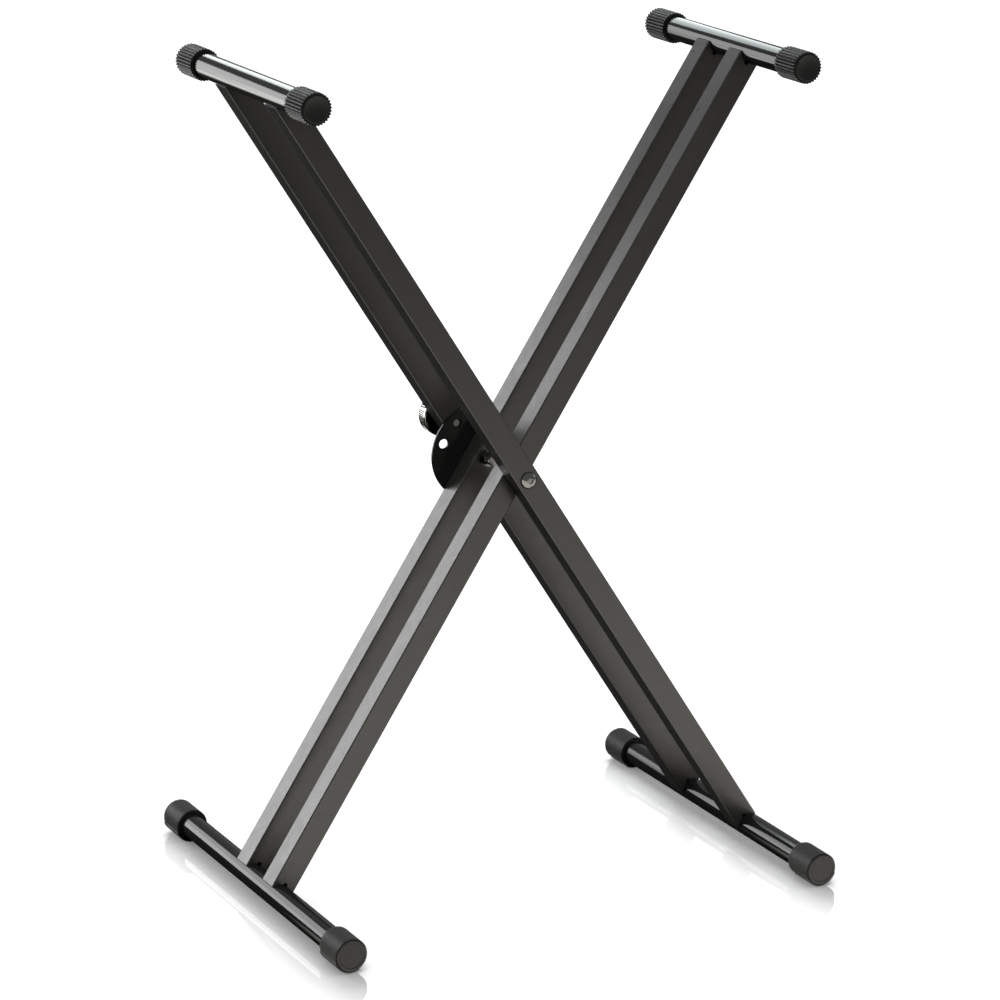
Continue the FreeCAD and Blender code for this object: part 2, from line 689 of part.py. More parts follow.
document.recompute()
for item in document.Objects:
    if "Invalid" in item.State or "Error" in item.State:
        raise RuntimeError(f"{item.Label}: {item.State}")
for node in nodes:
    if node.Shape.isNull() or not node.Shape.isValid():
        raise RuntimeError(f"{node.Label}: bad shape")

os.makedirs("parts", exist_ok=True)
for node in nodes:
    node.Shape.exportStep(f"parts/{node.Label}.step")
print(len(nodes), "nodes written")
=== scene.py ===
import json
import math
import bpy
import bmesh
from mathutils import Matrix, Vector


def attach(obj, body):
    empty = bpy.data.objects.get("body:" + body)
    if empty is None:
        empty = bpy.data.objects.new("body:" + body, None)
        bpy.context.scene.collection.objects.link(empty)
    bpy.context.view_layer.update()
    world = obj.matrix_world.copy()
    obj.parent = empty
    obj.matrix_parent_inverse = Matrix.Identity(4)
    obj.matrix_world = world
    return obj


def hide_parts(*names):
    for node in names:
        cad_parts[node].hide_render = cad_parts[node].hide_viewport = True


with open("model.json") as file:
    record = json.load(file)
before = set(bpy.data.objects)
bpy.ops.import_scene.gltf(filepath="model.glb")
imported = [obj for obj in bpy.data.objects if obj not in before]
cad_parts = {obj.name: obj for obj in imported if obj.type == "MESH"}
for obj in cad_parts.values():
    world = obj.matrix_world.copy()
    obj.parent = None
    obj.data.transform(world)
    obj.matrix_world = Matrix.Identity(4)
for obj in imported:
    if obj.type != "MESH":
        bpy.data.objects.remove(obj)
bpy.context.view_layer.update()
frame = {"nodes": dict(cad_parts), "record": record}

# Rails: four lengths of square steel tube, coped round the bars at both ends and welded there.
# They are powder coated in a warm charcoal satin, with the fine orange-peel skin of a baked coat.


def feed(tree, slot, term):
    """Gives an input a plain value, or links it to another node's output."""
    if isinstance(term, bpy.types.NodeSocket):
        tree.links.new(term, slot)
    else:
        slot.default_value = term


def place(tree, kind, terms=None, **settings):
    """Adds a node with its settings, and feeds the inputs that are named."""
    made = tree.nodes.new(kind)
    for setting, value in settings.items():
        setattr(made, setting, value)
    for label, term in (terms or {}).items():
        feed(tree, made.inputs[label], term)
    return made


def open_group(name, kind, inputs, outputs):
    """Starts a node group with named inputs and outputs, and gives its tree, input node and output node."""
    tree = bpy.data.node_groups.new(name, kind)
    for label, socket_type in inputs.items():
        tree.interface.new_socket(label, in_out="INPUT", socket_type=socket_type)
    for label, socket_type in outputs.items():
        tree.interface.new_socket(label, in_out="OUTPUT", socket_type=socket_type)
    return tree, place(tree, "NodeGroupInput"), place(tree, "NodeGroupOutput")


FIRST_COLOUR = 6
SECOND_COLOUR = 7
MIXED_COLOUR = 2


def blend(tree, factor, first, second):
    """Mixes two colours, each of them plain or another node's output."""
    made = place(tree, "ShaderNodeMix", {"Factor": factor}, data_type="RGBA")
    feed(tree, made.inputs[FIRST_COLOUR], first)
    feed(tree, made.inputs[SECOND_COLOUR], second)
    return made.outputs[MIXED_COLOUR]


NUMBER = "NodeSocketFloat"
SKIN_DETAIL = {"Peel": 2.0, "Mottle": 4.0, "Sheen": 6.0}
SKIN_WARP = {"Peel": 0.0, "Mottle": 0.3, "Sheen": 1.2}
SHEEN_LOW = 0.3
SHEEN_HIGH = 0.7
PEEL_STRENGTH = 0.6
skin_group, skin_in, skin_out = open_group(
    "coat_skin", "ShaderNodeTree",
    {f"{layer} Scale": NUMBER for layer in SKIN_DETAIL}, {layer: NUMBER for layer in SKIN_DETAIL})
skin_place = place(skin_group, "ShaderNodeTexCoord").outputs["Object"]
for layer in SKIN_DETAIL:
    cloud = place(skin_group, "ShaderNodeTexNoise", {
        "Vector": skin_place, "Scale": skin_in.outputs[f"{layer} Scale"],
        "Detail": SKIN_DETAIL[layer], "Distortion": SKIN_WARP[layer]})
    feed(skin_group, skin_out.inputs[layer], cloud.outputs["Fac"])


def finish(name, dark, light, smooth, rough, peel, depth, mottle=14.0, sheen=60.0, metallic=0.0, ior=1.5):
    """A finish that drifts between two tones and two roughnesses, over a grained skin."""
    material = bpy.data.materials.new(name)
    material.use_nodes = True
    tree = material.node_tree
    shader = tree.nodes["Principled BSDF"]
    skin = place(tree, "ShaderNodeGroup", node_tree=skin_group)
    for layer, scale in (("Peel", peel), ("Mottle", mottle), ("Sheen", sheen)):
        skin.inputs[f"{layer} Scale"].default_value = scale
    tone = blend(tree, skin.outputs["Mottle"], (*dark, 1.0), (*light, 1.0))
    gloss = place(tree, "ShaderNodeMapRange", {
        "Value": skin.outputs["Sheen"], "From Min": SHEEN_LOW, "From Max": SHEEN_HIGH,
        "To Min": smooth, "To Max": rough})
    bump = place(tree, "ShaderNodeBump", {
        "Height": skin.outputs["Peel"], "Strength": PEEL_STRENGTH, "Distance": depth})
    feed(tree, shader.inputs["Base Color"], tone)
    feed(tree, shader.inputs["Roughness"], gloss.outputs["Result"])
    feed(tree, shader.inputs["Normal"], bump.outputs["Normal"])
    shader.inputs["Metallic"].default_value = metallic
    shader.inputs["IOR"].default_value = ior
    return material


def dress(material, *names):
    """Gives plain solids of the frame their finish."""
    for name in names:
        frame["nodes"][name].data.materials.clear()
        frame["nodes"][name].data.materials.append(material)


charcoal_satin = finish(
    "charcoal_satin", dark=(0.044, 0.0425, 0.039), light=(0.056, 0.054, 0.050), smooth=0.27, rough=0.33,
    peel=1100.0, depth=0.00002, ior=1.6)
dress(charcoal_satin, "inner_rail_front", "inner_rail_rear", "outer_rail_front", "outer_rail_rear")

# Bars: round steel tubes across the ends of each frame, welded into the copes of the rails.
# They carry a smoother black gloss than the rails, so they mirror the studio in long bands.
black_gloss = finish(
    "black_gloss", dark=(0.014, 0.0145, 0.0145), light=(0.020, 0.0205, 0.0205), smooth=0.10, rough=0.13,
    peel=90.0, depth=0.0000005, sheen=25.0, ior=1.36)
dress(black_gloss, "inner_top_bar", "inner_floor_bar", "outer_top_bar", "outer_floor_bar")

# Grips: moulded rubber caps, pushed tight over the ends of the top bars, where the keyboard lies.
# A ring of pointed teeth runs their whole length round a plain sleeve, and the closed end has a raised disc.
LEAN = math.radians(57.1)
ARM = 0.485
FOLD = next(joint for joint in frame["record"]["behaviour"]["joints"] if joint["name"] == "fold")
PIVOT = Vector(FOLD["pos_m"])
inner_seat = Matrix.Translation(PIVOT) @ Matrix.Rotation(-LEAN, 4, "Y")
outer_seat = Matrix.Translation(PIVOT) @ Matrix.Rotation(LEAN - math.pi, 4, "Y")
BODY_SEATS = {"inner": ("inner_frame", inner_seat), "outer": ("outer_frame", outer_seat)}


def outward(side, along, start, seat):
    """Local +Z runs out along the bar from a start distance, to the front or to the rear."""
    turn = math.pi / 2 if side == "front" else -math.pi / 2
    reach = -start if side == "front" else start
    return seat @ Matrix.Translation((along, reach, 0)) @ Matrix.Rotation(turn, 4, "X")


def turned(rows, steps=96):
    """A solid of revolution about Z. A row is (radius, height), and either may be a function of the angle."""
    shape = bmesh.new()
    rings = []
    for radius, height in rows:
        if radius == 0:
            rings.append([shape.verts.new((0, 0, height))] * steps)
            continue
        ring = []
        for step in range(steps):
            angle = 2 * math.pi * step / steps
            reach = radius(angle) if callable(radius) else radius
            level = height(angle) if callable(height) else height
            ring.append(shape.verts.new((reach * math.cos(angle), reach * math.sin(angle), level)))
        rings.append(ring)
    if rows[0][0] != 0:
        rings.append(rings[0])
    for low, high in zip(rings, rings[1:]):
        for step in range(steps):
            following = (step + 1) % steps
            corners = [low[step], low[following], high[following], high[step]]
            shape.faces.new(list(dict.fromkeys(corners)))
    bmesh.ops.recalc_face_normals(shape, faces=shape.faces[:])
    mesh = bpy.data.meshes.new("turned")
    shape.to_mesh(mesh)
    shape.free()
    return mesh


def eased(radius, height, edge):
    """Rows for an eased edge, from pairs of how far each lies inside a corner and below it."""
    return [(radius - inset, height - drop) for inset, drop in edge]


def piece(name, meshes, matrix, material, body, node, sharp=35.0):
    """Joins meshes into one piece in its place, shades it, and lets it stand for its node on its body."""
    shape = bmesh.new()
    for mesh in meshes:
        shape.from_mesh(mesh)
    shape.transform(matrix)
    whole = bpy.data.meshes.new(name)
    shape.to_mesh(whole)
    shape.free()
    whole.shade_smooth()
    whole.set_sharp_from_angle(angle=math.radians(sharp))
    whole.materials.clear()
    whole.materials.append(material)
    made = bpy.data.objects.new(name, whole)
    bpy.context.scene.collection.objects.link(made)
    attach(made, body)
    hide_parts(node)


def reckon(tree, operation, *terms):
    """One step of arithmetic on plain numbers or other nodes' outputs."""
    made = place(tree, "ShaderNodeMath", operation=operation)
    for slot, term in zip(made.inputs, terms):
        feed(tree, slot, term)
    return made.outputs["Value"]


band_tree, band_in, band_out = open_group(
    "ribbed_band", "GeometryNodeTree",
    {"Count": "NodeSocketInt", "Group Size": "NodeSocketInt", "Group Turn": NUMBER, "Rib Turn": NUMBER,
     "Start Turn": NUMBER, "Root Radius": NUMBER, "Depth": NUMBER, "Root Width": NUMBER, "Tip Width": NUMBER,
     "Rounding": NUMBER, "Length": NUMBER, "Material": "NodeSocketMaterial"},
    {"Geometry": "NodeSocketGeometry"})
BAND_INPUTS = {
    item.name: item.identifier for item in band_tree.interface.items_tree if item.in_out == "INPUT"}
ROUNDING_STEPS = 3
MERGE_WITHIN = 1e-6
band = band_in.outputs
outline = place(band_tree, "GeometryNodeCurvePrimitiveQuadrilateral", {
    "Height": band["Depth"], "Bottom Width": band["Root Width"], "Top Width": band["Tip Width"],
    "Offset": 0.0}, mode="TRAPEZOID")
rounded = place(band_tree, "GeometryNodeFilletCurve", {
    "Curve": outline.outputs["Curve"], "Radius": band["Rounding"], "Count": ROUNDING_STEPS}, mode="POLY")
filled = place(band_tree, "GeometryNodeFillCurve", {"Curve": rounded.outputs["Curve"]}, mode="NGONS")
pulled = place(band_tree, "GeometryNodeExtrudeMesh", {
    "Mesh": filled.outputs["Mesh"], "Offset Scale": band["Length"]})
backed = place(band_tree, "GeometryNodeFlipFaces", {"Mesh": filled.outputs["Mesh"]})
closed = place(band_tree, "GeometryNodeJoinGeometry", {"Geometry": pulled.outputs["Mesh"]})
feed(band_tree, closed.inputs["Geometry"], backed.outputs["Mesh"])
rib = place(band_tree, "GeometryNodeMergeByDistance", {
    "Geometry": closed.outputs["Geometry"], "Distance": MERGE_WITHIN})
row = place(band_tree, "GeometryNodeMeshLine", {"Count": band["Count"]})
index = place(band_tree, "GeometryNodeInputIndex").outputs["Index"]
group = reckon(band_tree, "FLOOR", reckon(band_tree, "DIVIDE", index, band["Group Size"]))
member = reckon(band_tree, "MODULO", index, band["Group Size"])
group_angle = reckon(band_tree, "MULTIPLY_ADD", group, band["Group Turn"], band["Start Turn"])
angle = reckon(band_tree, "MULTIPLY_ADD", member, band["Rib Turn"], group_angle)
reach = reckon(band_tree, "MULTIPLY_ADD", band["Depth"], 0.5, band["Root Radius"])
spot = place(band_tree, "ShaderNodeCombineXYZ", {
    "X": reckon(band_tree, "MULTIPLY", reach, reckon(band_tree, "COSINE", angle)),
    "Y": reckon(band_tree, "MULTIPLY", reach, reckon(band_tree, "SINE", angle))})
facing = place(band_tree, "ShaderNodeCombineXYZ", {"Z": reckon(band_tree, "SUBTRACT", angle, math.pi / 2)})
spots = place(band_tree, "GeometryNodeSetPosition", {
    "Geometry": row.outputs["Mesh"], "Position": spot.outputs["Vector"]})
copies = place(band_tree, "GeometryNodeInstanceOnPoints", {
    "Points": spots.outputs["Geometry"], "Instance": rib.outputs["Geometry"],
    "Rotation": facing.outputs["Vector"]})
real = place(band_tree, "GeometryNodeRealizeInstances", {"Geometry": copies.outputs["Instances"]})
coated = place(band_tree, "GeometryNodeSetMaterial", {
    "Geometry": real.outputs["Geometry"], "Material": band["Material"]})
feed(band_tree, band_out.inputs["Geometry"], coated.outputs["Geometry"])


def ribs(**values):
    """Runs the ribbed band with named values and gives back its result as a plain mesh."""
    carrier = bpy.data.objects.new("carrier", bpy.data.meshes.new("carrier"))
    bpy.context.scene.collection.objects.link(carrier)
    nodes = carrier.modifiers.new("ribbed_band", "NODES")
    nodes.node_group = band_tree
    for label, value in values.items():
        nodes[BAND_INPUTS[label.replace("_", " ")]] = value
    evaluated = carrier.evaluated_get(bpy.context.evaluated_depsgraph_get())
    mesh = bpy.data.meshes.new_from_object(evaluated)
    carrier.modifiers.clear()
    bpy.data.objects.remove(carrier)
    return mesh


grip_rubber = finish(
    "grip_rubber", dark=(0.012, 0.012, 0.0115), light=(0.018, 0.018, 0.017), smooth=0.44, rough=0.54,
    peel=2600.0, depth=0.00001, mottle=120.0, sheen=300.0, ior=1.4)
BAR_BORE = 0.01255
MOUTH_BEVEL = 0.0003
ROOTED = 0.0003
GRIP_MOUTH = 0.114
GRIP_FLOOR = 0.0355
GRIP_LENGTH = 0.0375
GRIP_END = 0.0385
GRIP_ROOT = 0.0146
GRIP_DISC = 0.0132
GRIP_DISC_EDGE = ((0.0, 0.0005), (0.0002, 0.0002), (0.0006, 0.0), (0.0010, 0.0001), (0.0013, 0.0003))
GRIP_DISH = 0.0003
GRIP_TEETH = 30
TOOTH_DEPTH = 0.0014
grip_teeth = ribs(
    Count=GRIP_TEETH, Group_Size=1, Group_Turn=2 * math.pi / GRIP_TEETH, Rib_Turn=0.0, Start_Turn=0.0,
    Root_Radius=GRIP_ROOT - ROOTED, Depth=TOOTH_DEPTH + ROOTED, Root_Width=0.0035, Tip_Width=0.0009,
    Rounding=0.00022, Length=GRIP_LENGTH, Material=grip_rubber)
grip_core = turned([
    (0, GRIP_FLOOR), (BAR_BORE, GRIP_FLOOR), (BAR_BORE, MOUTH_BEVEL), (BAR_BORE + MOUTH_BEVEL, 0),
    (GRIP_ROOT, 0), (GRIP_ROOT, GRIP_LENGTH), (GRIP_DISC, GRIP_LENGTH),
    *eased(GRIP_DISC, GRIP_END, GRIP_DISC_EDGE), (0, GRIP_END - GRIP_DISH)])
for owner, (body, seat) in BODY_SEATS.items():
    for side in ("front", "rear"):
        node = f"{owner}_grip_{side}"
        piece(f"{node}_rubber", [grip_core, grip_teeth], outward(side, ARM, GRIP_MOUTH, seat), grip_rubber,
              body, node)

# Feet: moulded rubber caps, pushed tight over the ends of the floor bars. Fine ribs run along the sleeve up
# to a dished end face, and a thicker ribbed pad on the underside keeps the bar off the floor. The crests of
# the ribs carry a painted highlight, and the hollows between them painted shade.
BAR_SPREAD = 0.26344
FLOOR_BAR_HEIGHT = 0.018
axis_group, axis_in, axis_out = open_group(
    "from_axis", "ShaderNodeTree", {"Axis X": NUMBER, "Axis Z": NUMBER}, {"Distance": NUMBER})
axis_place = place(axis_group, "ShaderNodeSeparateXYZ", {
    "Vector": place(axis_group, "ShaderNodeTexCoord").outputs["Object"]}).outputs
outboard = reckon(axis_group, "ABSOLUTE", axis_place["X"])
sideways = reckon(axis_group, "SUBTRACT", outboard, axis_in.outputs["Axis X"])
upward = reckon(axis_group, "SUBTRACT", axis_place["Z"], axis_in.outputs["Axis Z"])
upward_square = reckon(axis_group, "MULTIPLY", upward, upward)
squares = reckon(axis_group, "MULTIPLY_ADD", sideways, sideways, upward_square)
feed(axis_group, axis_out.inputs["Distance"], reckon(axis_group, "SQRT", squares))


def darken_below_crests(material, axis_x, axis_z, low, high, hollow):
    """Keeps a finish's own tone on the crests far from an axis, and darkens it closer in, as painted shade in
    the hollows.
    """
    tree = material.node_tree
    shader = tree.nodes["Principled BSDF"]
    crest = shader.inputs["Base Color"].links[0].from_socket
    axis = place(tree, "ShaderNodeGroup", node_tree=axis_group)
    axis.inputs["Axis X"].default_value = axis_x
    axis.inputs["Axis Z"].default_value = axis_z
    height = place(tree, "ShaderNodeMapRange", {
        "Value": axis.outputs["Distance"], "From Min": low, "From Max": high})
    tone = blend(tree, height.outputs["Result"], (*hollow, 1.0), crest)
    feed(tree, shader.inputs["Base Color"], tone)


foot_rubber = finish(
    "foot_rubber", dark=(0.015, 0.0145, 0.0135), light=(0.023, 0.022, 0.0205), smooth=0.42, rough=0.54,
    peel=2600.0, depth=0.00003, mottle=120.0, sheen=300.0)
# The ribs and the pad are a paler copy of the foot's rubber, which paints a highlight on their crests.
highlit_rib_rubber = finish(
    "highlit_rib_rubber", dark=(0.085, 0.084, 0.081), light=(0.115, 0.114, 0.110), smooth=0.55, rough=0.66,
    peel=2600.0, depth=0.00003, mottle=120.0, sheen=300.0)
FOOT_START = 0.181
FOOT_FLOOR = 0.0330
FOOT_RIB_LENGTH = 0.0373
FOOT_END = 0.0395
FOOT_ROOT = 0.0159
FOOT_CREST = 0.017
FOOT_NOSE = 0.0156
FOOT_NOSE_EDGE = ((0.0, 0.0008), (0.0001, 0.0004), (0.0004, 0.0))
FOOT_DISH = 0.0130
FOOT_DISH_EDGE = ((0.0, 0.0), (0.0003, 0.0003), (0.0006, 0.0005))
FOOT_DISH_DEPTH = 0.0005
FOOT_RIBS = 64
RIB_TURN = 2 * math.pi / FOOT_RIBS
PAD_DROP = 0.018
PAD_GROOVE = 0.0009
PAD_SEAT = 0.0145
PAD_RIBS = range(-12, 6)
PAD_RIB_OUTLINE = ((-0.5, PAD_DROP - PAD_GROOVE), (-0.3, PAD_DROP), (0.3, PAD_DROP))
foot_ribs = ribs(
    Count=FOOT_RIBS, Group_Size=1, Group_Turn=RIB_TURN, Rib_Turn=0.0, Start_Turn=0.0,
    Root_Radius=FOOT_ROOT - ROOTED, Depth=FOOT_CREST - FOOT_ROOT + ROOTED, Root_Width=0.0009,
    Tip_Width=0.0007, Rounding=0.00014, Length=FOOT_RIB_LENGTH, Material=highlit_rib_rubber)
# Closer to the bar's axis than the crests, this rubber is darkened, which paints shade into the hollows
# between the ribs.
darken_below_crests(highlit_rib_rubber, BAR_SPREAD, FLOOR_BAR_HEIGHT, low=FOOT_CREST - 0.0004, high=FOOT_CREST - 0.0001,
     hollow=(0.006, 0.006, 0.006))
foot_core = turned([
    (0, FOOT_FLOOR), (BAR_BORE, FOOT_FLOOR), (BAR_BORE, MOUTH_BEVEL), (BAR_BORE + MOUTH_BEVEL, 0),
    (FOOT_ROOT, 0), (FOOT_ROOT, FOOT_RIB_LENGTH), (FOOT_NOSE, FOOT_RIB_LENGTH),
    *eased(FOOT_NOSE, FOOT_END, FOOT_NOSE_EDGE), *eased(FOOT_DISH, FOOT_END, FOOT_DISH_EDGE),
    (0, FOOT_END - FOOT_DISH_DEPTH)])


def pad_mesh(floor_angle, handed):
    """A ribbed sector: one flat rib crest faces the floor, and the ribs step away from it both ways."""
    outside = []
    for rib_number in PAD_RIBS:
        for part, distance in PAD_RIB_OUTLINE:
            swing = handed * part * RIB_TURN
            outside.append((floor_angle + handed * rib_number * RIB_TURN + swing, distance / math.cos(swing)))
    inside = [(angle, PAD_SEAT) for angle, reach in outside[::-len(PAD_RIB_OUTLINE)]]
    shape = bmesh.new()
    corners = [(reach * math.cos(angle), reach * math.sin(angle)) for angle, reach in outside + inside]
    near_end = [shape.verts.new((x, y, 0.0)) for x, y in corners]
    far_end = [shape.verts.new((x, y, FOOT_RIB_LENGTH)) for x, y in corners]
    shape.faces.new(near_end)
    shape.faces.new(far_end)
    for corner in range(len(corners)):
        shape.faces.new((near_end[corner - 1], near_end[corner], far_end[corner], far_end[corner - 1]))
    bmesh.ops.recalc_face_normals(shape, faces=shape.faces[:])
    mesh = bpy.data.meshes.new("pad")
    shape.to_mesh(mesh)
    shape.free()
    return mesh


for owner, (body, seat) in BODY_SEATS.items():
    for side in ("front", "rear"):
        node = f"{owner}_foot_{side}"
        matrix = outward(side, -ARM, FOOT_START, seat)
        down = matrix.to_3x3().inverted() @ Vector((0, 0, -1))
        spread = matrix.to_3x3().inverted() @ Vector((-1 if owner == "inner" else 1, 0, 0))
        handed = -math.copysign(1, down.x * spread.y - down.y * spread.x)
        pad = pad_mesh(math.atan2(down.y, down.x), handed)
        piece(f"{node}_rubber", [foot_core], matrix, foot_rubber, body, node, sharp=28)
        piece(f"{node}_ribs", [foot_ribs, pad], matrix, highlit_rib_rubber, body, node, sharp=28)

# Pivots: a button-head bolt at the front and one at the rear, each through an outer and an inner rail.
# They are plated steel with a hexagon socket, and end in a collared lock nut on a plain washer.
zinc_plate = finish(
    "zinc_plate", dark=(0.17, 0.17, 0.165), light=(0.23, 0.23, 0.225), smooth=0.16, rough=0.22,
    peel=1500.0, depth=0.000003, mottle=90.0, sheen=200.0, metallic=1.0)
black_nylon = finish(
    "black_nylon", dark=(0.020, 0.020, 0.020), light=(0.030, 0.030, 0.030), smooth=0.40, rough=0.52,
    peel=1800.0, depth=0.00004, mottle=150.0, sheen=300.0)
PIVOT_STEPS = 72
OUTER_FACE = 0.0725
HEAD_RADIUS = 0.0087
HEAD_HEIGHT = 0.0048
CROWN_FIRST = math.radians(20)
CROWN_LAST = math.radians(84)
CROWN_STEPS = 12
SOCKET_FLATS = 0.005
SOCKET_DEPTH = 0.0012
SOCKET_LIP = 0.0002
BOLT_RADIUS = 0.0040
BOLT_TAIL = OUTER_FACE - 0.00835
TAIL_TAPER = 0.0007
THREAD_LENGTH = 0.006
THREAD_PITCH = 0.00125
THREAD_DEPTH = 0.0006
THREAD_GROOVES = 4
FIRST_GROOVE = 0.0054
NUT_FACE = 0.01835
NUT_BORE = 0.00405
NUT_FLATS = 0.013
NUT_HEIGHT = 0.006
NUT_CHAMFER = NUT_FLATS / 2 * 0.98
CHAMFER_SLOPE = math.tan(math.radians(30))
COLLAR_RADIUS = 0.0057
COLLAR_FOOT = 0.0061
COLLAR_TOP = 0.0080
COLLAR_EDGE = ((0.0, 0.0006), (0.0002, 0.0002), (0.0007, 0.0))


def hexagon(flats):
    """The outline of a hexagon bar as a radius for each angle."""
    return lambda angle: flats / 2 / math.cos((angle + math.pi / 6) % (math.pi / 3) - math.pi / 6)


def crown(part):
    """A point of the button head's dome, from the socket's rim at 0 to the flange edge at 1."""
    swing = CROWN_FIRST + (CROWN_LAST - CROWN_FIRST) * part
    across = HEAD_RADIUS * math.sin(swing) / math.sin(CROWN_LAST)
    return across, HEAD_HEIGHT * math.cos(swing) / math.cos(CROWN_FIRST)


socket = hexagon(SOCKET_FLATS)
socket_floor = HEAD_HEIGHT - SOCKET_DEPTH
bolt_rows = [(0, socket_floor), (socket, socket_floor), (socket, HEAD_HEIGHT - SOCKET_LIP)]
bolt_rows += [crown(step / CROWN_STEPS) for step in range(1, CROWN_STEPS + 1)]
bolt_rows += [(HEAD_RADIUS, 0.0), (BOLT_RADIUS, 0.0), (BOLT_RADIUS, THREAD_LENGTH - BOLT_TAIL)]
for groove in range(THREAD_GROOVES):
    middle = FIRST_GROOVE - BOLT_TAIL - THREAD_PITCH * groove
    bolt_rows += [(BOLT_RADIUS - THREAD_DEPTH, middle), (BOLT_RADIUS, middle - THREAD_PITCH / 2)]
bolt_rows += [(BOLT_RADIUS - TAIL_TAPER, -BOLT_TAIL), (0, -BOLT_TAIL)]
bolt_mesh = turned(bolt_rows, PIVOT_STEPS)
nut_bar = hexagon(NUT_FLATS)


def nut_edge(angle):
    """How far the chamfer on the nut's corners reaches down its sides."""
    return (nut_bar(angle) - NUT_CHAMFER) * CHAMFER_SLOPE


nut_mesh = turned([
    (NUT_BORE, 0.0), (NUT_CHAMFER, 0.0), (nut_bar, nut_edge),
    (nut_bar, lambda angle: NUT_HEIGHT - nut_edge(angle)), (NUT_CHAMFER, NUT_HEIGHT),
    (COLLAR_RADIUS, COLLAR_FOOT), *eased(COLLAR_RADIUS, COLLAR_TOP, COLLAR_EDGE),
    (NUT_BORE, COLLAR_TOP)], PIVOT_STEPS)
for side, inward in (("front", "rear"), ("rear", "front")):
    piece(f"pivot_bolt_{side}_steel", [bolt_mesh], outward(side, 0, OUTER_FACE, outer_seat), zinc_plate,
          "outer_frame", f"pivot_bolt_{side}", sharp=28)
    piece(f"pivot_nut_{side}_steel", [nut_mesh], outward(inward, 0, -NUT_FACE, outer_seat), zinc_plate,
          "outer_frame", f"pivot_nut_{side}", sharp=28)
dress(zinc_plate, "nut_washer_front", "nut_washer_rear", "crush_tube_front", "crush_tube_rear")
dress(black_nylon, "pivot_spacer_front", "pivot_spacer_rear", "pivot_bush_front", "pivot_bush_rear")

# Lock plate: a flat steel disc with its foot cut off, riveted to the back of the rear inner rail.
# It is painted glossy black, and drilled holes near its rim take the lock pin.
plate_black = finish(
    "plate_black", dark=(0.012, 0.012, 0.0115), light=(0.017, 0.017, 0.016), smooth=0.26, rough=0.34,
    peel=500.0, depth=0.00001)
dress(plate_black, "lock_plate", "plate_rivet_upper", "plate_rivet_lower")

# Lock pin: a plain steel pin that slides in a flanged sleeve through the rear outer rail.
# Its knob is turned and nickel plated, with eight blocks of short ribs let into the rim, and a screw
# holds the knob to the pin.
nickel_plate = finish(
    "nickel_plate", dark=(0.34, 0.335, 0.325), light=(0.42, 0.415, 0.40), smooth=0.14, rough=0.20,
    peel=1500.0, depth=0.000003, mottle=90.0, sheen=200.0, metallic=1.0)
pin_steel = finish(
    "pin_steel", dark=(0.46, 0.46, 0.455), light=(0.54, 0.54, 0.535), smooth=0.28, rough=0.36,
    peel=1500.0, depth=0.000003, mottle=90.0, sheen=200.0, metallic=1.0)
dress(pin_steel, "lock_pin")
dress(zinc_plate, "pin_sleeve", "knob_screw")
dress(black_nylon, "brake_ring")
PIN_CIRCLE = 0.0393
KNOB_STEPS = 288
KNOB_FRONT = 0.077
KNOB_RADIUS = 0.0212
KNOB_WIDTH = 0.016
KNOB_ROOT = KNOB_RADIUS - 0.0012
KNOB_EDGE = 0.0010
KNOB_EDGE_MIDDLE = 0.0003
BLOCKS = 8
BLOCK_RIBS = 6
BLOCK_TURN = 2 * math.pi / BLOCKS
BLOCK_FRONT = 0.004
BLOCK_BACK = KNOB_WIDTH - 0.0015
BLOCK_MARGIN = 0.2
KNOB_RIB_TURN = math.radians(5.6)
KNOB_RIB_DEPTH = 0.0011
CREST_MARGIN = 0.0002
SLEEVE_RECESS = 0.0125
SLEEVE_RECESS_DEPTH = 0.004
RECESS_BEVEL = 0.0003
BACK_RING_OUTSIDE = 0.0150
BACK_RING_INSIDE = 0.0086
BACK_RING_SLOPE = 0.0004
BACK_RING_DEPTH = 0.0003
SCREW_BORE = 0.00305
SCREW_RECESS = 0.00385
SCREW_RECESS_DEPTH = 0.002
SCREW_RECESS_BEVEL = 0.0004
# Closer to the knob's axis than the rim, the nickel is darkened: painted shade between the ribs, and a dark
# tone over the faces.
knob_axis = outer_seat @ Vector((PIN_CIRCLE, 0.0, 0.0))
darken_below_crests(nickel_plate, -knob_axis.x, knob_axis.z, low=KNOB_ROOT + CREST_MARGIN, high=KNOB_RADIUS - CREST_MARGIN,
     hollow=(0.030, 0.030, 0.029))


def rim(angle):
    """The rim's radius inside the ribbed blocks and on the plain lands between them."""
    swing = (angle + LEAN + BLOCK_TURN / 2) % BLOCK_TURN - BLOCK_TURN / 2
    return KNOB_ROOT if abs(swing) < (BLOCK_RIBS / 2 + BLOCK_MARGIN) * KNOB_RIB_TURN else KNOB_RADIUS


